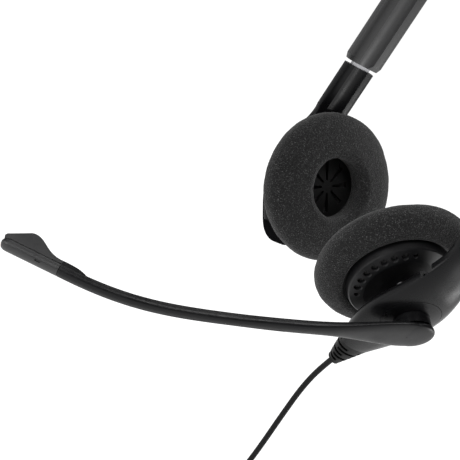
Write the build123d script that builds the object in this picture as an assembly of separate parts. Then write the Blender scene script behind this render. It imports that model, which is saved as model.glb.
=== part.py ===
"""Office headset with two on-ear speakers and a swinging microphone boom.

Millimetres, +Z up. The wearer looks along -Y, so +X is the wearer's left. The origin is the
middle of the head, halfway between the two foam cushions. Sub-parts that both sides have are
drawn once, as the left one, in a frame of their own, and mirrored for the right side.
"""

from build123d import *
import os
from math import cos, degrees, pi, radians, sin, tan

# ---------------------------------------------------------------- driving dimensions
CUSHION_R = 29.0            # foam cushion
CUSHION_T = 18.0
CUSHION_N = 2.5             # exponent of its rounded profile
FRONT_HOLE_R = 11.6
REAR_HOLE_R = 20.2

BALL_X = 42.6               # ball joint, from the middle plane
LEFT_BALL_Z = -4.9
RIGHT_BALL_Z = -6.2         # the right arm stands 1.3 mm further out of its sleeve
CUP_LEAN = 28.0             # degrees, both cup casings
LEFT_LEAN = 18.8            # degrees, the left speaker as it hangs
RIGHT_LEAN = 24.4           # degrees, the right speaker as it hangs
STACK = 15.0                # ball centre to the middle of the cushion

BALL_R = 3.0
LINER_R = 4.0
RUNNING = 0.1               # clearance of the ball and of its liner
STEM_R = 1.6

CUP_DEPTH = 5.0             # casing, each side of its middle surface
MID_A = 5.0                 # casing's middle surface, outward of the ball
SPLIT = 1.3                 # parting line of the cup, outward of the middle surface
PIVOT_U = 1.0               # boom pivot, up the cup from the ball
CUP_END = -27.0             # casing's lower end, along the cup from the pivot
WALL = 1.5
BASE_R = 10.6
FLOOR_A = 6.6               # ledge that carries the boom base
LEDGE_A = 8.0

TURRET_R = 6.2
TURRET_TOP = 3.7            # above the casing
SHAFT_R = 4.0
HUB_R = 7.2
HUB_T = 3.0
BOOM_DROOP = 25.0           # degrees below straight forward
BOOM_W = 4.6
BOOM_T = 3.8
BOOM_STRAIGHT = 30.0
BOOM_RISE = 5.3             # boom's middle, above the casing at the pivot
BOOM_BENDS = ((500.0, 5.7), (110.0, 20.3))      # radius, degrees
MIC_SEAM = 5.0              # seam of the microphone head, past the last bend
MIC_LENGTH = 20.9
FIN_W = 3.9                 # thickness of the fin that faces the mouth
MIC_PORT = 9.5              # microphone port, past the seam

ARM_W = 14.8
ARM_T = 3.8
ARM_BEND = 64.0             # radius between the arm and the cup
SEAM_Z = 44.0               # lower end of the headband sleeves
SLEEVE_TOP_Z = 88.0
SLEEVE_W = 17.2
SLEEVE_T = 5.2
STRIP_W = 9.0
STRIP_T = 1.4
STRIP_TOP_Z = 72.0
STRIP_ROOT = 16.0           # length of the strip held in the arm
SLIDE_PLAY = 0.15
NOTCH_COUNT = 9
NOTCH_PITCH = 2.5
CHANNEL_R = 8.8             # shallow channel on the inner face of arms and band
CHANNEL_DEPTH = 0.8

BAND_W = 16.8
BAND_T = 4.4
SHOULDER_R = 40.0
SHOULDER_DEG = 50.0

CORD_D = 2.2
RELIEF_TIP = (6.2, -37.8)   # outward and up the cup, from the ball
COIL_R = 12.5               # middle of the turns
COIL_BUNDLE_R = 4.4
COIL_MIDDLE = (13.5, 0, -134.5)
PLUG_TOP_Z = -149.8
# the cord from below the strain relief to the top of the coil
CORD_ROUTE = (
    (25.6, 0, -58),
    (24.7, 0.6, -73),
    (24.5, 1.0, -90),
    (24.1, 1.2, -104),
    (22.8, 0.6, -115.5),
    (19.6, 0.1, -120.6),
    (14.0, 0, -122.2),
)

EVERY = 360                 # a full turn, degrees

# ---------------------------------------------------------------- frames
ARM_START = ARM_BEND * radians(CUP_LEAN)        # along the cup, where the arm runs straight up
MID_X = BALL_X + MID_A * cos(radians(CUP_LEAN)) + PIVOT_U * sin(radians(CUP_LEAN))
ARM_X = MID_X + ARM_BEND * (1 - cos(radians(CUP_LEAN)))
MID_Z = LEFT_BALL_Z - MID_A * sin(radians(CUP_LEAN)) + PIVOT_U * cos(radians(CUP_LEAN))
ARM_LENGTH = SEAM_Z - 0.3 - MID_Z - ARM_BEND * sin(radians(CUP_LEAN))
CROWN_A = MID_A + CUP_DEPTH

CUP = Pos(BALL_X, 0, LEFT_BALL_Z) * Rot(0, CUP_LEAN, 0)
LEFT_SPEAKER = Pos(BALL_X, 0, LEFT_BALL_Z) * Rot(0, LEFT_LEAN, 0)
RIGHT_SPEAKER = Pos(BALL_X, 0, RIGHT_BALL_Z) * Rot(0, RIGHT_LEAN, 0)
RIGHT_CUP = Pos(BALL_X, 0, RIGHT_BALL_Z) * Rot(0, CUP_LEAN, 0)

BOOM_X = Vector(0, -cos(radians(BOOM_DROOP)), -sin(radians(BOOM_DROOP)))
BOOM_PLANE = Plane(origin=(CROWN_A, 0, PIVOT_U), x_dir=BOOM_X, z_dir=(1, 0, 0))
BOOM = CUP * BOOM_PLANE.location

os.makedirs("parts", exist_ok=True)
written = {}


def save(name, shape):
    """Write one sub-part."""
    written[name] = shape
    export_step(shape, f"parts/{name}.step")


def save_pair(name, shape, left=CUP, right=RIGHT_CUP):
    """Write the left sub-part, and its mirror image on the right."""
    save("left_" + name, left * shape)
    save("right_" + name, mirror(right * shape, about=Plane.YZ))


def cylinder_x(radius, low, high, y=0.0, z=0.0):
    """A cylinder along X."""
    return Pos((low + high) / 2, y, z) * Rot(0, 90, 0) * Cylinder(radius, high - low)


def box_between(low, high):
    """A box from its lowest and highest corners."""
    size = [b - a for a, b in zip(low, high)]
    middle = [(a + b) / 2 for a, b in zip(low, high)]
    return Pos(*middle) * Box(*size)


def turned(edges):
    """A solid turned about X from edges in the XY plane, y being the radius."""
    return revolve(make_face(edges), Axis.X, EVERY)


def turned_polygon(points):
    """A solid turned about X from a polygon of (x, radius)."""
    return turned(Polyline(*points, close=True).edges())


def rounded_power(value, exponent):
    """Signed power, for superellipses."""
    return (1 if value >= 0 else -1) * abs(value) ** (2 / exponent)


def oval(width, outer, inner, exponent, count=24):
    """Points of a rounded section: half width along y, unequal heights along x."""
    points = []
    for k in range(count):
        turn = 2 * pi * k / count
        y = width * rounded_power(cos(turn), exponent)
        x = rounded_power(sin(turn), exponent)
        points.append((x * (outer if x > 0 else inner), y))
    return points


# ---------------------------------------------------------------- cup casing
# along the cup from the pivot: half width, outer depth, inner depth, roundness
CUP_SECTIONS = (
    (ARM_START, ARM_W / 2, ARM_T / 2, ARM_T / 2, 3.6),
    (24.0, 8.0, 2.7, 2.6, 3.0),
    (16.0, 10.7, 3.9, 3.8, 2.5),
    (8.0, 13.0, 4.8, 4.7, 2.3),
    (0.0, 14.4, CUP_DEPTH, CUP_DEPTH, 2.3),
    (-7.0, 14.4, CUP_DEPTH, CUP_DEPTH, 2.3),
    (-14.0, 12.9, 4.8, 4.8, 2.3),
    (-20.0, 10.6, 4.5, 4.6, 2.3),
    (CUP_END, 7.4, 4.0, 4.2, 2.2),
)
# the right cup has no cord, so it closes with a blunt round end
BLUNT_SECTIONS = CUP_SECTIONS[:-1] + (
    (-23.5, 8.7, 4.1, 4.2, 2.2),
    (-25.6, 6.5, 3.3, 3.4, 2.2),
    (-26.8, 3.8, 2.0, 2.1, 2.2),
)


def cup_plane(along):
    """The plane across the cup at a distance from the pivot, x outward and y sideways."""
    if along <= 0:
        return Plane(origin=(MID_A, 0, PIVOT_U + along), x_dir=(1, 0, 0), z_dir=(0, 0, 1))
    turn = along / ARM_BEND
    centre = (MID_A - ARM_BEND * (1 - cos(turn)), 0, PIVOT_U + ARM_BEND * sin(turn))
    outward = (cos(turn), 0, sin(turn))
    return Plane(origin=centre, x_dir=outward, z_dir=(-sin(turn), 0, cos(turn)))


def section_face(plane, points):
    """A face bounded by a smooth closed curve."""
    curve = Spline(*[plane.from_local_coords((x, y, 0)) for x, y in points], periodic=True)
    return make_face(curve)


def cup_loft(shrink, sections):
    """The casing's outside, or its inside when shrunk by the wall."""
    faces = []
    for along, width, outer, inner, exponent in sections:
        points = oval(width - shrink, outer - shrink, inner - shrink, exponent)
        faces.append(section_face(cup_plane(along), points))
    return loft(faces)


def inboard_block():
    """Everything inward of the cup's parting surface."""
    pivot, middle, top = [
        plane.origin + plane.x_dir * SPLIT for plane in (cup_plane(0), cup_plane(ARM_START / 2), cup_plane(ARM_START))
    ]
    far = top + cup_plane(ARM_START).z_dir * 30
    low = pivot + Vector(0, 0, -70)
    edges = [
        Line(low, pivot),
        ThreePointArc(pivot, middle, top),
        Line(top, far),
        Line(far, far + Vector(-40, 0, 0)),
        Line(far + Vector(-40, 0, 0), low + Vector(-70, 0, 0)),
        Line(low + Vector(-70, 0, 0), low),
    ]
    return extrude(make_face(edges), 30, dir=(0, 1, 0), both=True)


def between(low, high):
    """The casing's sections between two distances along the cup."""
    return [section for section in CUP_SECTIONS if low < section[0] < high]


SCREWS = ((0.0, -9.5), (7.8, 6.0), (-7.8, 6.0))       # sideways and up the cup


def casing(sections, with_boom):
    """The outer casing of a cup: the outward half, and the whole section along the arm."""
    cavity = cup_loft(WALL, between(-21, 20))
    if with_boom:
        cavity -= cylinder_x(BASE_R + 1.2, FLOOR_A, 20, z=PIVOT_U)
    cavity -= [cylinder_x(1.5, MID_A + SPLIT, 9.0, y, z) for y, z in SCREWS]
    arm_end = box_between((-80, -30, PIVOT_U + 20), (40, 30, 90))
    shell = cup_loft(0.0, sections) - cavity - (inboard_block() - arm_end)
    if with_boom:
        shell -= cylinder_x(BASE_R + 0.15, LEDGE_A, 20, z=PIVOT_U)
        shell -= cylinder_x(SHAFT_R + 0.6, 0, 20, z=PIVOT_U)
    shell -= [cylinder_x(0.8, 0, MID_A + 2.5, y, z) for y, z in SCREWS]
    return shell + arm_post()


def arm_post():
    """Straight part of the arm above the bend, with its shallow inner channel and strip pocket."""
    face = section_face(cup_plane(ARM_START), oval(ARM_W / 2, ARM_T / 2, ARM_T / 2, 3.6))
    post = extrude(face, ARM_LENGTH, dir=cup_plane(ARM_START).z_dir)
    channel = Pos(-ARM_T / 2 - CHANNEL_R + CHANNEL_DEPTH, 0, ARM_LENGTH / 2) * Cylinder(CHANNEL_R, ARM_LENGTH + 2)
    pocket = box_between((-STRIP_T / 2, -STRIP_W / 2, ARM_LENGTH - STRIP_ROOT), (STRIP_T / 2, STRIP_W / 2, 90))
    return post - cup_plane(ARM_START).location * (channel + pocket)


def slider_strip():
    """Flat strip with click notches, from its root in the arm up into the headband sleeve."""
    top = ARM_LENGTH + STRIP_TOP_Z - SEAM_Z
    strip = box_between((-STRIP_T / 2, -STRIP_W / 2, ARM_LENGTH - STRIP_ROOT), (STRIP_T / 2, STRIP_W / 2, top))
    for k in range(NOTCH_COUNT):
        strip -= Pos(0, STRIP_W / 2 + 0.3, top - 4 - k * NOTCH_PITCH) * Rot(0, 90, 0) * Cylinder(0.8, 4)
    return cup_plane(ARM_START).location * strip


def inner_cover():
    """The inner half of a cup, a little smaller so that a fine step shows, with the ball socket."""
    cavity = cup_loft(WALL + 0.2, between(-15, 20)) - cylinder_x(6.6, -5, 1.2)
    cavity -= [cylinder_x(1.9, -5, MID_A + SPLIT - 0.1, y, z) for y, z in SCREWS]
    cover = (cup_loft(0.35, between(-21, 24)) & inboard_block()) + cylinder_x(6.6, -1.4, 1.2)
    cover -= cavity
    cover -= cylinder_x(6.5, 1.25, MID_A + 1)
    cover -= ball(LINER_R + RUNNING)
    cover -= [cylinder_x(LINER_R + RUNNING, 0, MID_A + 1), cylinder_x(3.8, -6, 0)]
    cover -= [cylinder_x(0.85, -9, MID_A + 3, y, z) for y, z in SCREWS]
    cover -= [cylinder_x(1.9, -9, 1.7, y, z) for y, z in SCREWS]
    return cover


def cover_screws():
    """Three screws that pull the cover to the casing, heads inward."""
    screws = Part()
    for y, z in SCREWS:
        head = cylinder_x(1.75, 0.4, 1.65, y, z) - cylinder_x(0.5, 0, 1.0, y, z)
        screws += head + cylinder_x(0.78, 1.6, MID_A + 2.3, y, z)
    return screws


# ---------------------------------------------------------------- ball joint
def ball(radius):
    """A ball at the joint, turned about X."""
    return turned([ThreePointArc((-radius, 0), (0, radius), (radius, 0)), Line((radius, 0), (-radius, 0))])


def sphere_arc(radius, low, high):
    """The arc of a ball's outline between two x, from low to high."""
    middle = (low + high) / 2
    return ThreePointArc(*[(x, (radius ** 2 - x ** 2) ** 0.5) for x in (low, middle, high)])


def ball_retainer():
    """The ring that closes the socket from inside the cup."""
    seat = sphere_arc(LINER_R + RUNNING, 1.3, 3.2)
    rim = Polyline(seat @ 1, (3.2, 6.4), (1.3, 6.4), seat @ 0).edges()
    return turned([seat, *rim])


def ball_liner():
    """The split ring between socket and ball, open for the stem on one side."""
    low = -2.4
    high = 3.3
    outer = sphere_arc(LINER_R, low, high)
    inner = sphere_arc(BALL_R + RUNNING, -1.7, 2.4)
    return turned([outer, Line(outer @ 1, inner @ 1), inner, Line(inner @ 0, outer @ 0)])


def ball_stud():
    """Ball, stem and the flange held under the rear cover's neck."""
    return ball(BALL_R) + cylinder_x(STEM_R, -6.0, -2.0) + cylinder_x(3.4, -6.1, behind(9.9) - 0.05)


# ---------------------------------------------------------------- speaker
def behind(height):
    """x of a height behind the middle of the cushion."""
    return height - STACK


VENT_R = 16.2
VENT_COUNT = 9
VENT_STEP = 13.4
VENT_MIDDLE = 10.7          # degrees above straight forward
VENT_D = 2.6


def rear_cover():
    """Vented cover: side wall, sloping ledge, and the neck that the stud passes through."""
    top = behind(11.5)
    edges = [
        Line((top, STEM_R + 0.1), (top, 4.6)),
        Spline((top, 4.6), (behind(11.25), 5.4), (behind(10.85), 8.2), (behind(10.75), 11.6), (behind(10.6), 13.9)),
        Line((behind(10.6), 13.9), (behind(9.0), 18.6)),
        Line((behind(9.0), 18.6), (behind(8.6), 19.0)),
        Line((behind(8.6), 19.0), (behind(5.2), 19.4)),
        Line((behind(5.2), 19.4), (behind(5.2), 20.8)),
        Line((behind(5.2), 20.8), (behind(3.2), 20.8)),
        Line((behind(3.2), 20.8), (behind(3.2), 18.0)),
        Line((behind(3.2), 18.0), (behind(7.9), 17.7)),
        Line((behind(7.9), 17.7), (behind(9.6), 13.4)),
        Line((behind(9.6), 13.4), (behind(9.9), 5.0)),
        Line((behind(9.9), 5.0), (behind(9.9), STEM_R + 0.1)),
        Line((behind(9.9), STEM_R + 0.1), (top, STEM_R + 0.1)),
    ]
    cutters = []
    for side in (1, -1):
        for k in range(VENT_COUNT):
            angle = radians(VENT_MIDDLE + (k - (VENT_COUNT - 1) / 2) * VENT_STEP)
            size = VENT_D * (0.7 if k in (0, VENT_COUNT - 1) else 1.0)
            y = -side * VENT_R * cos(angle)
            z = VENT_R * sin(angle)
            cutters.append(cylinder_x(size / 2, behind(7.0), behind(12.0), y, z))
            cutters.append(Pos(behind(10.15), y, z) * Rot(0, 90, 0) * Cone(size / 2 - 0.35, size / 2 + 0.65, 1.5))
    return turned(edges) - cutters


GRILLE_SLOTS = 8


def front_grille():
    """Slightly domed plate with eight tapered slots round a solid hub."""
    edges = [
        ThreePointArc((behind(0.6), 0), (behind(0.85), 6), (behind(1.6), 12)),
        Line((behind(1.6), 12), (behind(1.2), 20.8)),
        Line((behind(1.2), 20.8), (behind(3.1), 20.8)),
        Line((behind(3.1), 20.8), (behind(3.1), 12)),
        ThreePointArc((behind(3.1), 12), (behind(2.35), 6), (behind(2.1), 0)),
        Line((behind(2.1), 0), (behind(0.6), 0)),
    ]
    grille = turned(edges)
    slot = make_face(Polyline((0.4, 2.4), (1.15, 10.2), (-1.15, 10.2), (-0.4, 2.4), close=True).edges())
    blade = Pos(behind(1.5), 0, 0) * Rot(0, 90, 0) * extrude(slot, 6, dir=(0, 0, 1), both=True)
    turns = [(k + 0.5) * EVERY / GRILLE_SLOTS for k in range(GRILLE_SLOTS)]
    return grille - [Rot(turn, 0, 0) * blade for turn in turns]


def vent_felt():
    """Ring of acoustic felt behind the vents."""
    return turned_polygon([
        (behind(9.4), 13.7), (behind(8.0), 17.1), (behind(7.6), 17.1), (behind(9.0), 13.7),
    ])


def damping_felt():
    return cylinder_x(16.5, behind(3.25), behind(3.6))


def diaphragm():
    """Thin dome with its surround."""
    edges = [
        Spline((behind(4.0), 0), (behind(4.3), 4), (behind(5.0), 7)),
        Spline((behind(5.0), 7), (behind(4.3), 11), (behind(5.0), 15)),
        Line((behind(5.0), 15), (behind(5.15), 15)),
        Spline((behind(5.15), 15), (behind(4.45), 11), (behind(5.15), 7)),
        Spline((behind(5.15), 7), (behind(4.45), 4), (behind(4.15), 0)),
        Line((behind(4.15), 0), (behind(4.0), 0)),
    ]
    return turned(edges)


def driver_basket():
    """Frame that holds diaphragm and magnet, with four windows."""
    basket = turned_polygon([
        (behind(3.7), 15.2), (behind(3.7), 17.2), (behind(6.4), 17.2), (behind(7.0), 14.5),
        (behind(7.4), 7.0), (behind(6.4), 7.0), (behind(6.0), 14.0), (behind(5.3), 15.2),
    ])
    return basket - [Rot(k * 90, 0, 0) * cylinder_x(2.2, behind(5.0), behind(9.0), 10.6, 0) for k in range(4)]


def driver_magnet():
    """Magnet in its yoke cup."""
    gap = cylinder_x(5.6, behind(5.0), behind(8.0)) - cylinder_x(4.9, behind(4.0), behind(9.0))
    return cylinder_x(6.8, behind(5.4), behind(8.8)) - gap


def cushion():
    """Slip-on foam cushion with an open middle."""
    half = CUSHION_T / 2

    def profile(radius, side):
        return (side * half * (1 - (radius / CUSHION_R) ** CUSHION_N) ** (1 / CUSHION_N) - STACK, radius)

    front = [profile(radius, -1) for radius in (14.0, 17.5, 21.0, 24.0, 26.5, 28.3)]
    rear = [profile(radius, 1) for radius in (28.3, 26.5, 24.0, 21.9)]
    lip = (behind(6.3), REAR_HOLE_R)
    edges = [
        Spline((behind(-5.6), FRONT_HOLE_R), (behind(-7.9), FRONT_HOLE_R + 0.7), *front, (behind(0), CUSHION_R), *rear, lip),
        Line(lip, (behind(5.6), REAR_HOLE_R)),
        Line((behind(5.6), REAR_HOLE_R), (behind(5.4), 21.1)),
        Line((behind(5.4), 21.1), (behind(0.9), 21.1)),
        Line((behind(0.9), 21.1), (behind(0.4), FRONT_HOLE_R + 0.4)),
        Line((behind(0.4), FRONT_HOLE_R + 0.4), (behind(-5.6), FRONT_HOLE_R)),
    ]
    return turned(edges)


# ---------------------------------------------------------------- headband
def sleeve():
    """Left end sleeve of the headband, open below for the slider strip."""
    faces = []
    for z, width, depth in (
        (SEAM_Z, SLEEVE_W - 1.4, SLEEVE_T - 1.2),
        (SEAM_Z + 2, SLEEVE_W, SLEEVE_T),
        (SLEEVE_TOP_Z - 6, SLEEVE_W, SLEEVE_T),
        (SLEEVE_TOP_Z, BAND_W + 0.3, BAND_T + 0.3),
    ):
        faces.append(section_face(Plane((ARM_X, 0, z)), oval(width / 2, depth / 2, depth / 2, 3.6)))
    body = loft(faces, ruled=True)
    half_t = STRIP_T / 2 + SLIDE_PLAY
    half_w = STRIP_W / 2 + SLIDE_PLAY
    slot = box_between((ARM_X - half_t, -half_w, SEAM_Z - 1), (ARM_X + half_t, half_w, STRIP_TOP_Z + 0.8))
    spring_pocket = box_between((ARM_X - 0.9, half_w - 0.1, SEAM_Z + 6), (ARM_X + 0.9, half_w + 1.5, SEAM_Z + 16))
    channel_x = ARM_X - SLEEVE_T / 2 - CHANNEL_R + CHANNEL_DEPTH
    channel = Pos(channel_x, 0, (SEAM_Z + SLEEVE_TOP_Z) / 2) * Cylinder(CHANNEL_R, 2 * (SLEEVE_TOP_Z - SEAM_Z))
    return body - slot - spring_pocket - channel


def click_spring():
    """Bowed leaf whose nose rides over the notches of the slider strip."""
    near = STRIP_W / 2 + SLIDE_PLAY + 0.05
    low = SEAM_Z + 6.3
    high = SEAM_Z + 15.7
    middle = (low + high) / 2
    edges = [
        ThreePointArc((near + 1.0, low), (near, middle), (near + 1.0, high)),
        Line((near + 1.0, high), (near + 1.3, high)),
        ThreePointArc((near + 1.3, high), (near + 0.3, middle), (near + 1.3, low)),
        Line((near + 1.3, low), (near + 1.0, low)),
    ]
    return Pos(ARM_X, 0, 0) * extrude(Plane.YZ * make_face(edges), 0.7, dir=(1, 0, 0), both=True)


def band_path():
    """Middle line of the headband, from the left sleeve over the top to the right sleeve."""
    shoulder_x = ARM_X - SHOULDER_R
    turn = radians(SHOULDER_DEG)
    top_r = SHOULDER_R + shoulder_x / cos(turn)
    top_z = SLEEVE_TOP_Z - shoulder_x * tan(turn)

    def on_shoulder(angle, side):
        return (side * (shoulder_x + SHOULDER_R * cos(angle)), 0, SLEEVE_TOP_Z + SHOULDER_R * sin(angle))

    return Wire([
        ThreePointArc(on_shoulder(0, 1), on_shoulder(turn / 2, 1), on_shoulder(turn, 1)),
        ThreePointArc(on_shoulder(turn, 1), (0, 0, top_z + top_r), on_shoulder(turn, -1)),
        ThreePointArc(on_shoulder(turn, -1), on_shoulder(turn / 2, -1), on_shoulder(0, -1)),
    ])


def along_band(section):
    """Sweep a section, x outward and y sideways, along the headband."""
    return sweep(Pos(ARM_X, 0, SLEEVE_TOP_Z) * section, band_path())


def flat_section(low, high, half_width):
    """A rectangular section of the band between two heights over its middle line."""
    return Pos((low + high) / 2, 0) * Rectangle(high - low, 2 * half_width)


def headband():
    """Outer band with its inward channel, spring, liner and cross-over lead."""
    outer = along_band(section_face(Plane.XY, oval(BAND_W / 2, BAND_T / 2, BAND_T / 2, 3.4)))
    outer -= along_band(flat_section(-4, 0.7, 5.2))
    spring = along_band(flat_section(-0.15, 0.65, 4.6))
    liner = along_band(flat_section(-2.5, -1.5, 5.1))
    lead = along_band(Pos(-0.85, -2.6) * Circle(0.55))
    return outer, spring, liner, lead


# ---------------------------------------------------------------- boom
def boom_station(along):
    """Plane across the boom at a distance from the pivot, y across the boom, x away from the head."""
    x = min(along, BOOM_STRAIGHT)
    z = BOOM_RISE
    heading = 0.0
    left = along - x
    for radius, angle in BOOM_BENDS:
        step = min(left, radius * radians(angle))
        turn = step / radius
        x += radius * (sin(heading + turn) - sin(heading))
        z -= radius * (cos(heading) - cos(heading + turn))
        heading += turn
        left -= step
    x += left * cos(heading)
    z -= left * sin(heading)
    return Plane(origin=(x, 0, z), x_dir=(sin(heading), 0, cos(heading)), z_dir=(cos(heading), 0, -sin(heading)))


BEND_1 = BOOM_STRAIGHT + BOOM_BENDS[0][0] * radians(BOOM_BENDS[0][1])
BEND_2 = BEND_1 + BOOM_BENDS[1][0] * radians(BOOM_BENDS[1][1])
SEAM = BEND_2 + MIC_SEAM
# along the boom: half width, half thickness, roundness
BOOM_SECTIONS = (
    (0.0, HUB_R - 0.15, HUB_T / 2 - 0.06, 3.0),
    (11.0, 6.6, 1.5, 3.0),
    (20.0, 4.7, 1.65, 2.8),
    (28.0, 3.4, 1.8, 2.5),
    (40.0, 2.7, BOOM_T / 2, 2.4),
    (60.0, BOOM_W / 2, BOOM_T / 2, 2.4),
    (BEND_1, BOOM_W / 2, BOOM_T / 2, 2.4),
    (BEND_1 + 13, BOOM_W / 2, BOOM_T / 2, 2.4),
    (BEND_1 + 26, BOOM_W / 2, BOOM_T / 2, 2.4),
    (BEND_2, BOOM_W / 2, BOOM_T / 2, 2.4),
    (SEAM - 0.1, BOOM_W / 2, BOOM_T / 2, 2.4),
)


def boom_line(low, high):
    """Middle line of the boom between two distances from the pivot."""
    stops = [low] + [stop for stop in (BOOM_STRAIGHT, BEND_1, BEND_2) if low < stop < high] + [high]
    edges = []
    for start, end in zip(stops[:-1], stops[1:]):
        a = boom_station(start).origin
        b = boom_station(end).origin
        middle = boom_station((start + end) / 2).origin
        straight = start < BOOM_STRAIGHT or start >= BEND_2
        edges.append(Line(a, b) if straight else ThreePointArc(a, middle, b))
    return Wire(edges)


def round_wire(radius, low, high):
    """A round rod along the boom's middle line."""
    return sweep(boom_station(low) * Circle(radius), boom_line(low, high))


def boom_shells():
    """Boom with its round hub, split into the shell and the narrow cover of its wire channel."""
    faces = []
    for along, width, depth, exponent in BOOM_SECTIONS:
        faces.append(section_face(boom_station(along), oval(width, depth, depth, exponent)))
    blade = loft(faces)
    quarter = [(x, y) for x, y in oval(HUB_R, HUB_T / 2, HUB_T / 2, 3.0, 32) if y >= -1e-6]
    quarter.sort(key=lambda point: -point[0])
    rim = Spline(*[(y, 0, BOOM_RISE + x) for x, y in quarter])
    hub = revolve(make_face([rim, Line(rim @ 1, rim @ 0)]), Axis.Z, EVERY)
    whole = blade + hub - round_wire(0.9, 4.0, SEAM)
    whole -= Pos(0, 0, BOOM_RISE - 2) * Cylinder(2.7, 4.6)
    # the narrow cover lies along the lower edge, behind a shallow groove
    split = BOOM_W / 2 - 1.1
    cover = whole & box_between((46.0, split + 0.01, -20), (140, 5, 12))
    core = loft([
        section_face(boom_station(along), oval(width - 0.35, depth - 0.35, depth - 0.35, exponent))
        for along, width, depth, exponent in BOOM_SECTIONS
    ])
    groove = box_between((45.9, split - 0.35, -20), (140, split, 12)) - core
    shell = whole - box_between((45.9, split, -20), (140, 5, 12)) - groove + inner_wedge()
    return shell, cover


def turret():
    """Round pedestal of the hub, with the shaft that turns in the base and the pin for the hub."""
    pedestal = Pos(0, 0, (TURRET_TOP - 0.5) / 2) * Cone(TURRET_R, TURRET_R + 0.5, TURRET_TOP + 0.5)
    shaft = Pos(0, 0, -2.6) * Cylinder(SHAFT_R, 4.4)
    pin = Pos(0, 0, TURRET_TOP + 0.8) * Cylinder(2.6, 2.0)
    bore = Cylinder(1.0, 30)
    return pedestal + shaft + pin - bore


def boom_base():
    """Round base let into the casing, flush with it, with a recess and a bore for the turret."""
    disc = cylinder_x(BASE_R, LEDGE_A + 0.05, 20, z=PIVOT_U) & cup_loft(0.0, CUP_SECTIONS)
    disc -= cylinder_x(TURRET_R + 0.2, CROWN_A - 0.6, 20, z=PIVOT_U)
    return disc - cylinder_x(SHAFT_R + RUNNING, 0, 20, z=PIVOT_U)


def ring_z(outer, inner, low, high):
    """A flat ring across the boom's turning axis."""
    return Pos(0, 0, (low + high) / 2) * (Cylinder(outer, high - low) - Cylinder(inner, 2 * (high - low)))


def seam_frame():
    """Seam of the microphone head: x on along the boom, y away from the head, z up."""
    seam = boom_station(SEAM)
    return Plane(origin=seam.origin, x_dir=seam.z_dir, z_dir=(0, -1, 0))


# microphone barrel: past the seam, half width, half thickness
BARREL_SECTIONS = (
    (0.1, BOOM_W / 2, BOOM_T / 2),
    (MIC_LENGTH - 2.4, BOOM_W / 2, BOOM_T / 2),
    (MIC_LENGTH - 1.4, 2.2, 1.78),
    (MIC_LENGTH - 0.7, 1.95, 1.5),
    (MIC_LENGTH - 0.25, 1.6, 1.15),
    (MIC_LENGTH, 1.1, 0.7),
)


def barrel_loft(grow):
    seam = boom_station(SEAM)
    faces = []
    for along, width, depth in BARREL_SECTIONS:
        plane = Plane(origin=seam.origin + seam.z_dir * along, x_dir=seam.x_dir, z_dir=seam.z_dir)
        faces.append(section_face(plane, oval(width + grow, depth + grow, depth + grow, 2.4)))
    return loft(faces, ruled=True)


def inner_wedge():
    """Low flat wedge on the inner side of the boom, just before the seam."""
    edges = [
        Spline((-9.4, -1.3), (-7.6, -2.1), (-5.2, -2.65), (-2.6, -2.85), (-0.04, -2.85)),
        Line((-0.04, -2.85), (-0.04, -1.0)),
        Line((-0.04, -1.0), (-9.4, -1.0)),
        Line((-9.4, -1.0), (-9.4, -1.3)),
    ]
    flat = extrude(seam_frame() * make_face(edges), 1.5, both=True)
    return Pos(0, -0.35, 0) * flat


def mic_head():
    """Microphone barrel, the fin that faces the mouth, and the capsule and felt in it."""
    tip = MIC_LENGTH
    fin_edge = [
        Spline((0.04, -2.8), (2.9, -3.05), (5.5, -4.1), (8.0, -5.8), (10.2, -7.05), (12.5, -7.45), (14.2, -6.75)),
        Line((14.2, -6.75), (tip - 1.1, -3.2)),
        ThreePointArc((tip - 1.1, -3.2), (tip - 0.35, -2.6), (tip - 0.1, -1.8)),
        Line((tip - 0.1, -1.8), (tip - 0.6, -0.6)),
        Line((tip - 0.6, -0.6), (0.04, -0.6)),
        Line((0.04, -0.6), (0.04, -2.8)),
    ]
    frame = seam_frame()
    fin = extrude(frame * make_face(fin_edge), FIN_W / 2, both=True)
    fin -= barrel_loft(0.13)
    # pocket of the microphone capsule, with its port towards the mouth
    place = frame.location * Pos(MIC_PORT, 0, 0) * Rot(-90, 0, 0)
    fin -= place * Pos(0, 0, -4.0) * Cylinder(1.4, 3.8)
    fin -= place * Pos(0, 0, -7) * Cylinder(0.5, 6)
    capsule = place * Pos(0, 0, -4.3) * Cylinder(1.35, 1.6)
    felt = place * Pos(0, 0, -5.45) * Cylinder(1.35, 0.5)
    # slot of the second sound port, on the outer upper side
    port = frame.location * Pos(7.3, 1.5, 1.75) * Rot(45, 0, 0)
    slot = port * Rot(90, 0, 0) * extrude(SlotOverall(2.2, 0.9), 0.7, both=True)
    return barrel_loft(0.0) - slot, fin, capsule, felt


# ---------------------------------------------------------------- cord
RELIEF_TOP = PIVOT_U + CUP_END
# down the cup: height, half width, half depth
RELIEF_SECTIONS = ((RELIEF_TOP - 0.05, 7.3, 3.9), (-30.0, 5.6, 3.5), (-34.0, 4.0, 3.0), (-36.8, 2.7, 2.6))
RELIEF_ROWS = 5


def relief_x(height):
    """Middle of the strain relief, outward of the ball."""
    share = (height - RELIEF_TOP) / (RELIEF_TIP[1] - RELIEF_TOP)
    return MID_A + (RELIEF_TIP[0] - MID_A) * share


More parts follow.
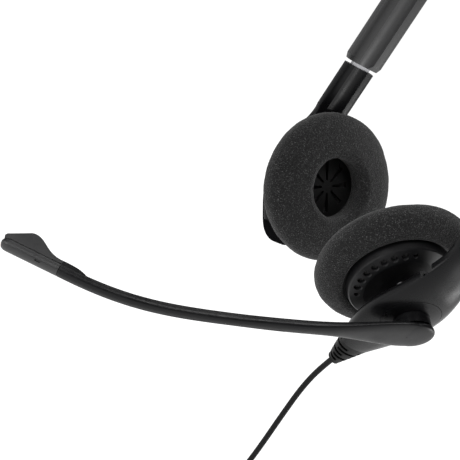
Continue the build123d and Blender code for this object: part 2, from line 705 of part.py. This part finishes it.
def strain_relief():
    """Tapered relief: rows of slots that face front and back, then in and out, in turn."""
    faces = []
    for height, width, depth in RELIEF_SECTIONS:
        plane = Plane(origin=(relief_x(height), 0, height), x_dir=(1, 0, 0), z_dir=(0, 0, 1))
        faces.append(section_face(plane, oval(width, depth, depth, 2.2)))
    relief = loft(faces)
    tip_x, tip_z = RELIEF_TIP
    collar = Pos(tip_x, 0, tip_z + 0.65) * Cylinder(2.5, 1.3)
    cutters = []
    for row in range(RELIEF_ROWS):
        height = RELIEF_TOP - 2.2 - row * 1.85
        share = 1 - row / (RELIEF_ROWS + 3)
        slab = Pos(relief_x(height), 0, height) * Box(20, 20, 1.0)
        if row % 2:
            bridge = Pos(relief_x(height), 0, height) * Box(3.2 * share, 20, 2)
        else:
            bridge = Pos(relief_x(height), 0, height) * Box(20, 4.8 * share, 2)
        cutters.append(slab - bridge)
    start = CUP_AXIS_TOP
    bore = sweep(Plane(start, z_dir=RELIEF_AXIS) * Circle(CORD_D / 2), Line(start, start + RELIEF_AXIS * 20))
    return relief + collar - cutters - bore


RELIEF_AXIS = Vector(RELIEF_TIP[0] - MID_A, 0, RELIEF_TIP[1] - RELIEF_TOP).normalized()
TIP = Vector(RELIEF_TIP[0], 0, RELIEF_TIP[1])
CUP_AXIS_TOP = TIP - RELIEF_AXIS * 8


def cord():
    """Cord from inside the strain relief down to the coil."""
    held = (CUP * Pos(TIP - RELIEF_AXIS * 6)).position
    first = (CUP * Pos(TIP + RELIEF_AXIS * 5.5)).position
    points = [held, first] + [Vector(point) for point in CORD_ROUTE]
    radii = []
    for before, here, after in zip(points, points[1:], points[2:]):
        turn = (here - before).get_angle(after - here)
        shorter = min((here - before).length, (after - here).length)
        radii.append(0.45 * shorter / tan(radians(turn) / 2))
    print("cord points", [tuple(round(v, 2) for v in point) for point in points])
    print("cord radii", [round(radius, 1) for radius in radii])
    path = FilletPolyline(*points, radius=radii)
    tube = sweep(Plane(path @ 0, z_dir=path % 0) * Circle(CORD_D / 2), path)
    section = pi * CORD_D ** 2 / 4
    print("cord volume", round(tube.volume, 1), "section times length", round(section * path.length, 1))
    return tube


def coil():
    """Outer shape of the tied coil of spare cord."""
    return Pos(*COIL_MIDDLE) * Rot(90, 0, 0) * Torus(COIL_R, COIL_BUNDLE_R)


def coil_tie():
    """Hook-and-loop strap round the turns, at the upper left of the coil."""
    x, y, z = COIL_MIDDLE
    turn = radians(125)
    place = Pos(x + COIL_R * cos(turn), y, z + COIL_R * sin(turn)) * Rot(0, 90 - degrees(turn), 0)
    strap = place * Rot(0, 90, 0) * Cylinder(COIL_BUNDLE_R + 0.8, 5)
    return strap - Pos(*COIL_MIDDLE) * Rot(90, 0, 0) * Torus(COIL_R, COIL_BUNDLE_R + 0.02)


def plug_parts():
    """Short tail below the coil, and the quick-disconnect plug on it."""
    x = COIL_MIDDLE[0] - COIL_R
    top = PLUG_TOP_Z
    tail_top = COIL_MIDDLE[2] - 2
    tail = Pos(x, 0, (tail_top + top - 2) / 2) * Cylinder(CORD_D / 2, tail_top - top + 2)
    neck = Pos(x, 0, top - 1.9) * Cone(2.9, 2.0, 3.8)
    shell = Pos(x, 0, top - 12.5) * fillet(Box(10, 6.4, 18).edges(), 1.4)
    body = neck + shell - Pos(x, 0, top - 1) * Cylinder(CORD_D / 2, 2)
    body -= Pos(x, 0, top - 20) * Box(7, 3.6, 5)
    latch = Pos(x, -3.35, top - 9) * fillet(Box(4, 1.0, 9).edges().filter_by(Axis.Y), 1.2)
    body -= latch
    block = Pos(x, 0, top - 20.9) * Box(6.6, 3.2, 5.6)
    contacts = Part() + [Pos(x + step, 0, top - 24.2) * Box(0.8, 1.6, 1.4) for step in (-2.1, -0.7, 0.7, 2.1)]
    block -= contacts
    return tail, body, latch, block, contacts


# ---------------------------------------------------------------- write every sub-part
band, band_spring, band_liner, crossover_lead = headband()
save("headband_band", band)
save("headband_spring", band_spring)
save("headband_liner", band_liner)
save("crossover_lead", crossover_lead)
left_sleeve = sleeve()
save("left_sleeve", left_sleeve)
save("right_sleeve", mirror(left_sleeve, about=Plane.YZ))
left_click = click_spring()
save("left_click_spring", left_click)
save("right_click_spring", mirror(left_click, about=Plane.YZ))

save("left_cup_casing", CUP * casing(CUP_SECTIONS, True))
save("right_cup_casing", mirror(RIGHT_CUP * casing(BLUNT_SECTIONS, False), about=Plane.YZ))
save_pair("cup_cover", inner_cover())
save_pair("slider_strip", slider_strip())
save_pair("cover_screws", cover_screws())
save_pair("ball_retainer", ball_retainer())
save("left_terminal_board", CUP * box_between((6.4, -4.5, -17.5), (7.3, 4.5, -11.5)))

for name, shape in (
    ("ball_liner", ball_liner()),
    ("ball_stud", ball_stud()),
    ("rear_cover", rear_cover()),
    ("front_grille", front_grille()),
    ("vent_felt", vent_felt()),
    ("damping_felt", damping_felt()),
    ("diaphragm", diaphragm()),
    ("driver_basket", driver_basket()),
    ("driver_magnet", driver_magnet()),
    ("cushion", cushion()),
):
    save_pair(name, shape, LEFT_SPEAKER, RIGHT_SPEAKER)

save("boom_base", CUP * boom_base())
boom_shell, boom_cover = boom_shells()
save("boom_shell", BOOM * boom_shell)
save("boom_wire_cover", BOOM * boom_cover)
save("boom_wire", BOOM * round_wire(0.6, 5.0, SEAM - 1))
save("boom_turret", BOOM * turret())
save("boom_click_washer", BOOM * ring_z(5.8, 4.3, -4.1, -3.5))
save("boom_retainer", BOOM * ring_z(6.1, SHAFT_R, -4.8, -4.2))
mic_barrel, mic_fin, mic_capsule, mic_felt = mic_head()
save("mic_housing", BOOM * mic_barrel)
save("mic_fin", BOOM * mic_fin)
save("mic_capsule", BOOM * mic_capsule)
save("mic_felt", BOOM * mic_felt)

save("strain_relief", CUP * strain_relief())
save("cord", cord())
save("cord_coil", coil())
save("cord_tie", coil_tie())
cord_tail, plug_body, plug_latch, plug_block, plug_contacts = plug_parts()
save("cord_tail", cord_tail)
save("plug_body", plug_body)
save("plug_latch", plug_latch)
save("plug_insert", plug_block)
save("plug_contacts", plug_contacts)
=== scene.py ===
import math

import bmesh
import bpy
import numpy as np
from mathutils import Euler, Matrix, Vector, noise


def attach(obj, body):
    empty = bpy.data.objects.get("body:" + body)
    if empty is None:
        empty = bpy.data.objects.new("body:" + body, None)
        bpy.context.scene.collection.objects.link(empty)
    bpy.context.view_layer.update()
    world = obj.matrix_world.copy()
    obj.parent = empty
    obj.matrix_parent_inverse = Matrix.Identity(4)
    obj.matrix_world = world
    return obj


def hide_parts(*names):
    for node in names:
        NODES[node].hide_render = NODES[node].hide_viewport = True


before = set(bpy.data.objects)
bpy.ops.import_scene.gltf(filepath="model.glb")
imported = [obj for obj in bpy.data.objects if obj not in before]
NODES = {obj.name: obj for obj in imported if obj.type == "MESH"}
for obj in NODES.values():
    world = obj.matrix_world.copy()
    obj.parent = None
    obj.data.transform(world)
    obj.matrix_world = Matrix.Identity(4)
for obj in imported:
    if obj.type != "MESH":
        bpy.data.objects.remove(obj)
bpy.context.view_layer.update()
MM = 0.001                      # metres in a millimetre

# ---------------------------------------------------------------- camera
CAMERA_AT = (364.8, -305.4, 111.4)      # mm
CAMERA_FORWARD = Vector((-0.7835, 0.5522, -0.2850)).normalized()
CAMERA_UP = Vector((-0.5102, -0.3098, 0.8023))
SENSOR = 36.0
LENS = 101.97
CLIP = (0.01, 20)               # metres


def add_camera():
    right = CAMERA_FORWARD.cross(CAMERA_UP).normalized()
    up = right.cross(CAMERA_FORWARD)
    turn = Matrix((right, up, -CAMERA_FORWARD)).transposed().to_4x4()
    data = bpy.data.cameras.new("camera")
    data.sensor_width = SENSOR
    data.lens = LENS
    data.clip_start, data.clip_end = CLIP
    camera = bpy.data.objects.new("camera", data)
    camera.matrix_world = Matrix.Translation(Vector(CAMERA_AT) * MM) @ turn
    bpy.context.scene.collection.objects.link(camera)
    bpy.context.scene.camera = camera


# ---------------------------------------------------------------- material nodes
def new_material(name):
    """A material, its node tree, its shader and its texture coordinates."""
    material = bpy.data.materials.new(name)
    material.use_nodes = True
    tree = material.node_tree
    shader = tree.nodes["Principled BSDF"]
    where = tree.nodes.new("ShaderNodeTexCoord")
    return material, tree, shader, where


def noise_node(tree, where, scale, detail=3.0, rough=0.55):
    """Noise over object space; scale is features per metre."""
    node = tree.nodes.new("ShaderNodeTexNoise")
    node.inputs["Scale"].default_value = scale
    node.inputs["Detail"].default_value = detail
    node.inputs["Roughness"].default_value = rough
    tree.links.new(where.outputs["Object"], node.inputs["Vector"])
    return node


def cell_node(tree, where, scale):
    """Cells over object space; scale is cells per metre."""
    node = tree.nodes.new("ShaderNodeTexVoronoi")
    node.inputs["Scale"].default_value = scale
    tree.links.new(where.outputs["Object"], node.inputs["Vector"])
    return node


def ramp_node(tree, source, low, high, at_low, at_high):
    """Maps source from low..high to at_low..at_high."""
    node = tree.nodes.new("ShaderNodeMapRange")
    node.inputs["From Min"].default_value = low
    node.inputs["From Max"].default_value = high
    node.inputs["To Min"].default_value = at_low
    node.inputs["To Max"].default_value = at_high
    tree.links.new(source, node.inputs["Value"])
    return node.outputs["Result"]


def math_node(tree, operation, first, second):
    node = tree.nodes.new("ShaderNodeMath")
    node.operation = operation
    tree.links.new(first, node.inputs[0])
    tree.links.new(second, node.inputs[1])
    return node.outputs["Value"]


def colour_mix(tree, factor):
    """A colour mix driven by factor, its two colours not yet set."""
    node = tree.nodes.new("ShaderNodeMix")
    node.data_type = "RGBA"
    tree.links.new(factor, node.inputs["Factor"])
    return node


def colour_between(tree, factor, first, second):
    """The colour from first to second at factor."""
    node = colour_mix(tree, factor)
    node.inputs["A"].default_value = (*first, 1)
    node.inputs["B"].default_value = (*second, 1)
    return node.outputs["Result"]


def colour_over(tree, factor, under, colour):
    """One colour laid over a linked one at factor."""
    node = colour_mix(tree, factor)
    tree.links.new(under, node.inputs["A"])
    node.inputs["B"].default_value = (*colour, 1)
    return node.outputs["Result"]


def bump(tree, shader, height, distance, strength=1.0, below=None):
    """Raised relief from a height, on top of the relief below it if there is one."""
    node = tree.nodes.new("ShaderNodeBump")
    node.inputs["Distance"].default_value = distance
    node.inputs["Strength"].default_value = strength
    tree.links.new(height, node.inputs["Height"])
    if below is not None:
        tree.links.new(below, node.inputs["Normal"])
    tree.links.new(node.outputs["Normal"], shader.inputs["Normal"])
    return node.outputs["Normal"]


def edge_wear(tree):
    """1 on convex edges, 0 elsewhere."""
    geometry = tree.nodes.new("ShaderNodeNewGeometry")
    return ramp_node(tree, geometry.outputs["Pointiness"], 0.52, 0.60, 0.0, 1.0)


# ---------------------------------------------------------------- materials
PLASTIC_GRAIN = 2600.0          # per metre
PLASTIC_GRAIN_DEPTH = 0.00002   # metres
PLASTIC_SHINE = 0.3             # specular level
PLASTIC_ROUGH_SPAN = 0.08
WORN_GAIN = 1.4                 # how much lighter a worn edge is
FOAM_CELLS = 2000.0             # per metre
FOAM_FINE_CELLS = 4400.0
FOAM_SHEEN = 0.12
JACKET_SHINE = 0.16


def plastic(name, colour, light, rough, shine=PLASTIC_SHINE):
    """Moulded plastic: fine spark-eroded grain, faint handling marks, edges polished by wear."""
    material, tree, shader, where = new_material(name)
    cloud = noise_node(tree, where, 55.0, 4.0)
    share = ramp_node(tree, cloud.outputs["Fac"], 0.35, 0.7, 0.0, 1.0)
    tint = colour_between(tree, share, colour, light)
    worn = [min(1.0, WORN_GAIN * level + 0.001) for level in light]
    tree.links.new(colour_over(tree, edge_wear(tree), tint, worn), shader.inputs["Base Color"])
    smear = noise_node(tree, where, 130.0, 5.0, 0.65)
    low = rough - PLASTIC_ROUGH_SPAN
    high = rough + PLASTIC_ROUGH_SPAN
    tree.links.new(ramp_node(tree, smear.outputs["Fac"], 0.3, 0.7, low, high), shader.inputs["Roughness"])
    fine = noise_node(tree, where, PLASTIC_GRAIN, 2.0)
    bump(tree, shader, fine.outputs["Fac"], PLASTIC_GRAIN_DEPTH, 0.35)
    shader.inputs["Specular IOR Level"].default_value = shine
    return material


def metal(name, colour, rough):
    """Drawn or rolled metal with fine lengthwise streaks."""
    material, tree, shader, where = new_material(name)
    stretch = tree.nodes.new("ShaderNodeMapping")
    stretch.inputs["Scale"].default_value = (40.0, 40.0, 900.0)
    tree.links.new(where.outputs["Object"], stretch.inputs["Vector"])
    lines = tree.nodes.new("ShaderNodeTexNoise")
    lines.inputs["Scale"].default_value = 20.0
    lines.inputs["Detail"].default_value = 4.0
    tree.links.new(stretch.outputs["Vector"], lines.inputs["Vector"])
    streak = lines.outputs["Fac"]
    tree.links.new(ramp_node(tree, streak, 0.3, 0.7, rough - 0.08, rough + 0.1), shader.inputs["Roughness"])
    darker = [level * 0.8 for level in colour]
    tree.links.new(colour_between(tree, streak, darker, colour), shader.inputs["Base Color"])
    bump(tree, shader, streak, 0.00001, 0.3)
    shader.inputs["Metallic"].default_value = 1.0
    return material


def foam(name, dark, light, painted_glint_colour):
    """Open-cell foam: the pores carry painted shade, darker than the cell walls around them, and a few
    walls carry a painted glint.
    """
    material, tree, shader, where = new_material(name)
    cells = cell_node(tree, where, FOAM_CELLS)
    fine = cell_node(tree, where, FOAM_FINE_CELLS)
    # painted shade: colour runs from the dark colour at the cell middles (the pores) to the light colour at
    # the cell edges (the walls)
    wall_light_pore_shade = ramp_node(tree, cells.outputs["Distance"], 0.25, 0.75, 0.0, 1.0)
    cloud = noise_node(tree, where, 140.0, 5.0, 0.7)
    patches = ramp_node(tree, cloud.outputs["Fac"], 0.3, 0.7, 0.55, 1.0)
    base = colour_between(tree, math_node(tree, "MULTIPLY", wall_light_pore_shade, patches), dark, light)
    # painted highlight: a few random cell walls get the pale glint colour laid over them
    random_wall = tree.nodes.new("ShaderNodeSeparateColor")
    tree.links.new(fine.outputs["Color"], random_wall.inputs["Color"])
    painted_glint = ramp_node(tree, random_wall.outputs["Red"], 0.86, 0.99, 0.0, 1.0)
    tree.links.new(colour_over(tree, painted_glint, base, painted_glint_colour), shader.inputs["Base Color"])
    under = bump(tree, shader, cells.outputs["Distance"], 0.0003, 0.7)
    bump(tree, shader, fine.outputs["Distance"], 0.00012, 0.5, below=under)
    shader.inputs["Roughness"].default_value = 0.92
    shader.inputs["Specular IOR Level"].default_value = 0.25
    shader.inputs["Sheen Weight"].default_value = FOAM_SHEEN
    shader.inputs["Sheen Roughness"].default_value = 0.5
    return material


def woven(name, colour, light, pitch):
    """Fine weave or felt: two crossed sets of threads, pitch metres apart, fuzzed by noise."""
    material, tree, shader, where = new_material(name)
    heights = []
    for axis in ("X", "Z"):
        wave = tree.nodes.new("ShaderNodeTexWave")
        wave.wave_type = "BANDS"
        wave.bands_direction = axis
        wave.inputs["Scale"].default_value = 1 / pitch / 3.18
        wave.inputs["Distortion"].default_value = 1.5
        tree.links.new(where.outputs["Object"], wave.inputs["Vector"])
        heights.append(wave.outputs["Fac"])
    fuzz = noise_node(tree, where, 1800.0, 4.0)
    tree.links.new(colour_between(tree, fuzz.outputs["Fac"], colour, light), shader.inputs["Base Color"])
    bump(tree, shader, math_node(tree, "MAXIMUM", *heights), 0.00015, 0.7)
    shader.inputs["Roughness"].default_value = 0.9
    shader.inputs["Sheen Weight"].default_value = 0.3
    return material


def rubber(name, colour, light, rough):
    """Soft jacket: matt, very fine drawn texture."""
    material, tree, shader, where = new_material(name)
    cloud = noise_node(tree, where, 240.0, 4.0).outputs["Fac"]
    tree.links.new(colour_between(tree, cloud, colour, light), shader.inputs["Base Color"])
    tree.links.new(ramp_node(tree, cloud, 0.3, 0.7, rough - 0.08, rough + 0.1), shader.inputs["Roughness"])
    bump(tree, shader, noise_node(tree, where, 1500.0, 3.0).outputs["Fac"], 0.00005, 0.35)
    shader.inputs["Specular IOR Level"].default_value = JACKET_SHINE
    return material


SHELL_DARK = (0.003, 0.003, 0.0034)
SHELL_LIGHT = (0.0045, 0.0045, 0.005)
BOOM_DARK = (0.004, 0.004, 0.0045)
BOOM_LIGHT = (0.006, 0.006, 0.0065)

MATERIALS = {
    "shell": plastic("shell_plastic", SHELL_DARK, SHELL_LIGHT, 0.3, shine=0.18),
    "band": plastic("band_plastic", (0.006, 0.006, 0.0065), (0.008, 0.008, 0.0085), 0.36, shine=0.6),
    "boom": plastic("boom_plastic", BOOM_DARK, BOOM_LIGHT, 0.36, shine=0.22),
    "mic": plastic("mic_plastic", (0.005, 0.005, 0.0055), (0.0075, 0.0075, 0.008), 0.42, shine=0.65),
    "cover": plastic("rear_cover_plastic", SHELL_DARK, SHELL_LIGHT, 0.4),
    "grille": plastic("grille_plastic", (0.003, 0.003, 0.003), (0.005, 0.005, 0.005), 0.55),
    "pale": plastic("bearing_plastic", (0.02, 0.02, 0.021), (0.03, 0.03, 0.031), 0.35),
    "plug": plastic("plug_plastic", (0.009, 0.009, 0.010), (0.014, 0.014, 0.015), 0.42),
    "board": plastic("board_lacquer", (0.01, 0.06, 0.025), (0.015, 0.09, 0.04), 0.35),
    "film": plastic("diaphragm_film", (0.35, 0.33, 0.28), (0.45, 0.43, 0.38), 0.25),
    "liner": rubber("band_liner_rubber", (0.008, 0.008, 0.008), (0.012, 0.012, 0.012), 0.6),
    "jacket": rubber("cord_jacket", (0.004, 0.004, 0.004), (0.006, 0.006, 0.006), 0.5),
    "steel": metal("spring_steel", (0.3, 0.3, 0.31), 0.36),
    "copper": metal("copper_wire", (0.75, 0.4, 0.25), 0.35),
    "gold": metal("gold_contact", (0.85, 0.62, 0.25), 0.25),
    "can": metal("capsule_can", (0.7, 0.7, 0.72), 0.3),
    # foam colours: pores with painted shade, cell walls, painted glint
    "foam": foam("cushion_foam", (0.0025, 0.0025, 0.0026), (0.015, 0.015, 0.0153), (0.075, 0.075, 0.075)),
    "felt": woven("acoustic_felt", (0.006, 0.006, 0.006), (0.02, 0.02, 0.02), 0.0004),
    "strap": woven("strap_fabric", (0.006, 0.006, 0.006), (0.025, 0.025, 0.025), 0.0007),
}
# a name also stands for its left_ and right_ nodes
FINISHES = {
    "shell": ("cup_casing", "cup_cover", "boom_base", "boom_turret"),
    "band": ("headband_band", "sleeve"),
    "boom": ("boom_shell", "boom_wire_cover"),
    "mic": ("mic_housing", "mic_fin"),
    "cover": ("rear_cover",),
    "grille": ("front_grille", "driver_basket", "ball_retainer"),
    "pale": ("ball_liner", "ball_stud", "plug_insert"),
    "plug": ("plug_body", "plug_latch"),
    "board": ("terminal_board",),
    "film": ("diaphragm",),
    "liner": ("headband_liner",),
    "jacket": ("cord", "cord_coil", "cord_tail", "strain_relief", "crossover_lead"),
    "steel": (
        "headband_spring", "boom_click_washer", "boom_retainer", "click_spring", "slider_strip",
        "cover_screws", "driver_magnet",
    ),
    "copper": ("boom_wire",),
    "gold": ("plug_contacts",),
    "can": ("mic_capsule",),
    "foam": ("cushion",),
    "felt": ("damping_felt", "vent_felt", "mic_felt"),
    "strap": ("cord_tie",),
}


def finish_nodes():
    """Give every CAD node its material."""
    for key, names in FINISHES.items():
        for name in names:
            for node in (name, "left_" + name, "right_" + name):
                if node in NODES:
                    slots = NODES[node].data.materials
                    slots.clear()
                    slots.append(MATERIALS[key])


# ---------------------------------------------------------------- meshes
def link_mesh(name, verts, faces, material):
    """A smooth-shaded mesh object in the scene."""
    mesh = bpy.data.meshes.new(name)
    mesh.from_pydata(verts, [], faces)
    mesh.materials.append(material)
    mesh.update()
    for polygon in mesh.polygons:
        polygon.use_smooth = True
    piece = bpy.data.objects.new(name, mesh)
    bpy.context.scene.collection.objects.link(piece)
    return piece


def fix_normals(piece):
    """Turn every face outward."""
    work = bmesh.new()
    work.from_mesh(piece.data)
    bmesh.ops.recalc_face_normals(work, faces=work.faces)
    work.to_mesh(piece.data)
    work.free()


# ---------------------------------------------------------------- foam cushions
BALL_X = 42.6
# ball's place, the speaker's lean in degrees, side
SPEAKERS = {
    "left": ((BALL_X, 0.0, -4.9), 18.8, 1),
    "right": ((BALL_X, 0.0, -6.2), 24.4, -1),
}
STACK = 15.0                    # from the ball to the middle of the cushion
CUSHION_R = 29.0
CUSHION_HALF = 9.0              # half thickness
CUSHION_N = 2.5                 # how square the section is
SECTION_FROM = 216              # degrees, where the section's outer curve starts
SECTION_SPAN = 234
SECTION_STEPS = 80
# behind the middle, and radius: the wall of the centre hole, then the pocket for the speaker's rim
HOLE = [(0.5, 12.0), (-2.0, 11.7), (-4.2, 11.6), (-5.8, 11.7), (-7.0, 12.2), (-7.8, 13.0), (-8.35, 14.4)]
POCKET = [(6.55, 20.9), (6.1, 20.3), (5.6, 20.3), (5.35, 21.1), (3.0, 21.1), (0.95, 21.1), (0.7, 17.0)]
FACE_FROM_R = 14.0              # the outer curve is used outside this radius in front
LIP_FROM_R = 22.0               # and outside this one behind
POCKET_FRONT = 0.4
POCKET_R = 21.2
AROUND = 300
ALONG = 190
# size in mm and features per mm of the unevenness
SWELLS = ((0.35, 0.055), (0.12, 0.22), (0.05, 0.9), (0.05, 1.9))
SWELL_SEEDS = {"left": Vector((3.1, 7.7, 1.3)), "right": Vector((11.2, 2.4, 5.9))}


def signed_power(value, exponent):
    return math.copysign(abs(value) ** exponent, value)


def cushion_outline():
    """Closed outline of the foam, as (behind the middle, radius), evenly spaced."""
    curve = []
    for k in range(SECTION_STEPS + 1):
        turn = math.radians(SECTION_FROM - SECTION_SPAN * k / SECTION_STEPS)
        height = CUSHION_HALF * signed_power(math.cos(turn), 2 / CUSHION_N)
        radius = CUSHION_R * signed_power(math.sin(turn), 2 / CUSHION_N)
        behind_pocket = height > 0 and radius < LIP_FROM_R
        if radius > FACE_FROM_R and not behind_pocket:
            curve.append((height, radius))
    points = np.array(HOLE + curve + POCKET)
    closed = np.vstack([points, points[:1]])
    gaps = np.hypot(*np.diff(closed, axis=0).T)
    run = np.concatenate([[0], np.cumsum(gaps)])
    even = np.linspace(0, run[-1], ALONG, endpoint=False)
    return np.column_stack([np.interp(even, run, closed[:, 0]), np.interp(even, run, closed[:, 1])])


def ring_faces(rows, columns, flipped=False):
    """Quads of a closed tube whose vertices run round each row in turn."""
    faces = []
    for row in range(rows):
        following = (row + 1) % rows
        for k in range(columns):
            m = (k + 1) % columns
            quad = (row * columns + k, row * columns + m, following * columns + m, following * columns + k)
            faces.append(quad[::-1] if flipped else quad)
    return faces


def add_cushion(side):
    """Slip-on foam cushion, a little uneven, with an open-cell surface."""
    centre, lean, mirror = SPEAKERS[side]
    turn = Euler((0, math.radians(lean), 0)).to_matrix()
    outline = cushion_outline()
    ahead = np.roll(outline, -1, axis=0) - np.roll(outline, 1, axis=0)
    ahead /= np.hypot(ahead[:, 0], ahead[:, 1])[:, None]
    verts = []
    for i in range(AROUND):
        angle = 2 * math.pi * i / AROUND
        for (height, radius), (dh, dr) in zip(outline, ahead):
            spot = Vector((height, radius * math.cos(angle), radius * math.sin(angle)))
            swell = 0.0
            if not (height > POCKET_FRONT and radius < POCKET_R):
                for size, scale in SWELLS:
                    swell += size * noise.noise(spot * scale + SWELL_SEEDS[side])
            # outward of the outline, which runs hole, front, rim, back
            height += dr * swell
            radius -= dh * swell
            local = Vector((height - STACK, radius * math.cos(angle), radius * math.sin(angle)))
            place = turn @ local + Vector(centre)
            verts.append((place.x * mirror * MM, place.y * MM, place.z * MM))
    faces = ring_faces(AROUND, ALONG, flipped=mirror < 0)
    cushion = link_mesh(side + "_foam_cushion", verts, faces, MATERIALS["foam"])
    fix_normals(cushion)
    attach(cushion, side + "_speaker")
    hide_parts(side + "_cushion")
    return cushion


# ---------------------------------------------------------------- cord
CORD_D = 2.2
# the route from inside the strain relief to the coil
CORD_ROUTE = (
    (32.59, 0.0, -35.63),
    (28.25, 0.0, -46.28),
    (25.6, 0.0, -58.0),
    (24.7, 0.6, -73.0),
    (24.5, 1.0, -90.0),
    (24.1, 0.6, -104.0),
    (23.6, -2.6, -113.0),
    (21.2, -5.6, -120.0),
    (17.4, -6.2, -124.8),
)
COIL_MIDDLE = (13.5, 0.0, -134.9)
COIL_INNER = 9.3
COIL_STEP = 2.32                # from layer to layer
COIL_LAYERS = 4
COIL_HALF_WIDTH = 3.0
COIL_START = 100.0              # degrees round from +X
LAYER_TURNS = 2.618
RAMP_TURNS = 0.25
POINTS_PER_TURN = 15
CORD_TAIL = ((-1.6, 0.0, -143.8), (0.6, 0.0, -148.8), (1.0, 0.0, -151.8))

TIE_AT = 125                    # degrees round the coil
TIE_HALF_LONG = 4.75            # half size of the hole through the strap
TIE_HALF_DEEP = 4.3
TIE_ROUNDS = 48
# along the cord, and outward of the hole: a flat strap with softened edges
TIE_LOOPS = ((-2.5, 0.0), (-2.5, 0.65), (-2.3, 0.85), (2.3, 0.85), (2.5, 0.65), (2.5, 0.0))


def coil_points():
    """Turns of the coil, wound from the inside out in layers that cross from side to side."""
    x, y, z = COIL_MIDDLE
    points = []
    angle = COIL_START
    side = -1
    spacing = 360.0 / POINTS_PER_TURN

    def place(radius, across, degrees_round):
        turn = math.radians(degrees_round)
        return (x + radius * math.cos(turn), y + across, z + radius * math.sin(turn))

    for layer in range(COIL_LAYERS):
        radius = COIL_INNER + layer * COIL_STEP
        count = round(LAYER_TURNS * POINTS_PER_TURN)
        for k in range(count):
            across = side * COIL_HALF_WIDTH * (1 - 2 * k / count)
            points.append(place(radius, across, angle + k * LAYER_TURNS * 360 / count))
        angle += LAYER_TURNS * 360
        side = -side
        if layer < COIL_LAYERS - 1:
            ramp = round(RAMP_TURNS * POINTS_PER_TURN)
            for k in range(ramp):
                raised = radius + COIL_STEP * k / ramp
                points.append(place(raised, side * COIL_HALF_WIDTH, angle + k * spacing))
            angle += RAMP_TURNS * 360
    return points


def add_cord():
    """The whole cord as one curve, from inside the strain relief to the connector."""
    points = list(CORD_ROUTE) + coil_points() + list(CORD_TAIL)
    curve = bpy.data.curves.new("cord_jacket_tube", "CURVE")
    curve.dimensions = "3D"
    spline = curve.splines.new("NURBS")
    spline.points.add(len(points) - 1)
    for point, place in zip(spline.points, points):
        point.co = (place[0] * MM, place[1] * MM, place[2] * MM, 1)
    spline.order_u = 3
    spline.use_endpoint_u = True
    spline.resolution_u = 8
    curve.bevel_depth = CORD_D / 2 * MM
    curve.bevel_resolution = 5
    curve.use_fill_caps = True
    curve.materials.append(MATERIALS["jacket"])
    cord = bpy.data.objects.new("cord_jacket_tube", curve)
    bpy.context.scene.collection.objects.link(cord)
    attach(cord, "left_arm")
    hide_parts("cord", "cord_coil", "cord_tail")
    tie = add_tie()
    return cord


def add_tie():
    """Hook-and-loop strap round the bundle of turns."""
    turn = math.radians(TIE_AT)
    middle_r = COIL_INNER + (COIL_LAYERS - 1) / 2 * COIL_STEP
    radial = Vector((math.cos(turn), 0, math.sin(turn)))
    tangent = Vector((-math.sin(turn), 0, math.cos(turn)))
    across = Vector((0, 1, 0))
    centre = Vector(COIL_MIDDLE) + radial * middle_r
    verts = []
    for along, grow in TIE_LOOPS:
        for k in range(TIE_ROUNDS):
            angle = 2 * math.pi * k / TIE_ROUNDS
            out = radial * signed_power(math.cos(angle), 0.5) * (TIE_HALF_LONG + grow)
            sideways = across * signed_power(math.sin(angle), 0.5) * (TIE_HALF_DEEP + grow)
            verts.append(tuple((centre + tangent * along + out + sideways) * MM))
    faces = ring_faces(len(TIE_LOOPS), TIE_ROUNDS)
    tie = link_mesh("cord_strap", verts, faces, MATERIALS["strap"])
    fix_normals(tie)
    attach(tie, "left_arm")
    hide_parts("cord_tie")
    return tie


# ---------------------------------------------------------------- studio
FLOOR_Z = -0.188                # metres from here on
FLOOR_HALF = 12.0
# name, place, what it points at, size, watts
LIGHTS = (
    ("key", (0.45, -0.3, 0.95), (0, 0, 0.0), (0.35, 0.35), 4.5),
    ("front", (0.2, -1.0, 0.45), (0, 0, 0.0), (0.5, 0.5), 5.0),
    ("low", (0.28, 0.41, -0.12), (-0.054, 0, 0.028), (0.14, 0.14), 0.6),
    ("top", (-0.35, 0.35, 1.0), (0, 0, 0.0), (0.6, 0.6), 9.0),
)
# height of the sky's direction and its brightness, from a white horizon to a dim zenith
HORIZON = (0.04, 1.0)
ZENITH = (0.2, 0.11)


def add_floor():
    """Plain pale floor that glows softly, so it stays white."""
    material, tree, shader, where = new_material("pale_floor")
    shader.inputs["Base Color"].default_value = (0.25, 0.25, 0.25, 1)
    shader.inputs["Roughness"].default_value = 0.9
    shader.inputs["Specular IOR Level"].default_value = 0.1
    shader.inputs["Emission Color"].default_value = (1, 1, 1, 1)
    shader.inputs["Emission Strength"].default_value = 0.99
    corners = [(-1, -1), (1, -1), (1, 1), (-1, 1)]
    verts = [(x * FLOOR_HALF, y * FLOOR_HALF, FLOOR_Z) for x, y in corners]
    link_mesh("floor", verts, [(0, 1, 2, 3)], material)


def add_sky():
    world = bpy.data.worlds.new("studio")
    world.use_nodes = True
    tree = world.node_tree
    where = tree.nodes.new("ShaderNodeTexCoord")
    split = tree.nodes.new("ShaderNodeSeparateXYZ")
    tree.links.new(where.outputs["Generated"], split.inputs["Vector"])
    level = ramp_node(tree, split.outputs["Z"], HORIZON[0], ZENITH[0], HORIZON[1], ZENITH[1])
    tree.links.new(level, tree.nodes["Background"].inputs["Color"])
    bpy.context.scene.world = world


def add_lights():
    for name, place, aim, size, energy in LIGHTS:
        data = bpy.data.lights.new(name, "AREA")
        data.shape = "RECTANGLE"
        data.size, data.size_y = size
        data.energy = energy
        lamp = bpy.data.objects.new(name, data)
        lamp.location = place
        lamp.rotation_euler = (Vector(aim) - Vector(place)).to_track_quat("-Z", "Y").to_euler()
        bpy.context.scene.collection.objects.link(lamp)


add_camera()
add_cord()
finish_nodes()
for side in SPEAKERS:
    add_cushion(side)
add_floor()
add_sky()
add_lights()
bpy.context.scene.view_settings.view_transform = "Standard"
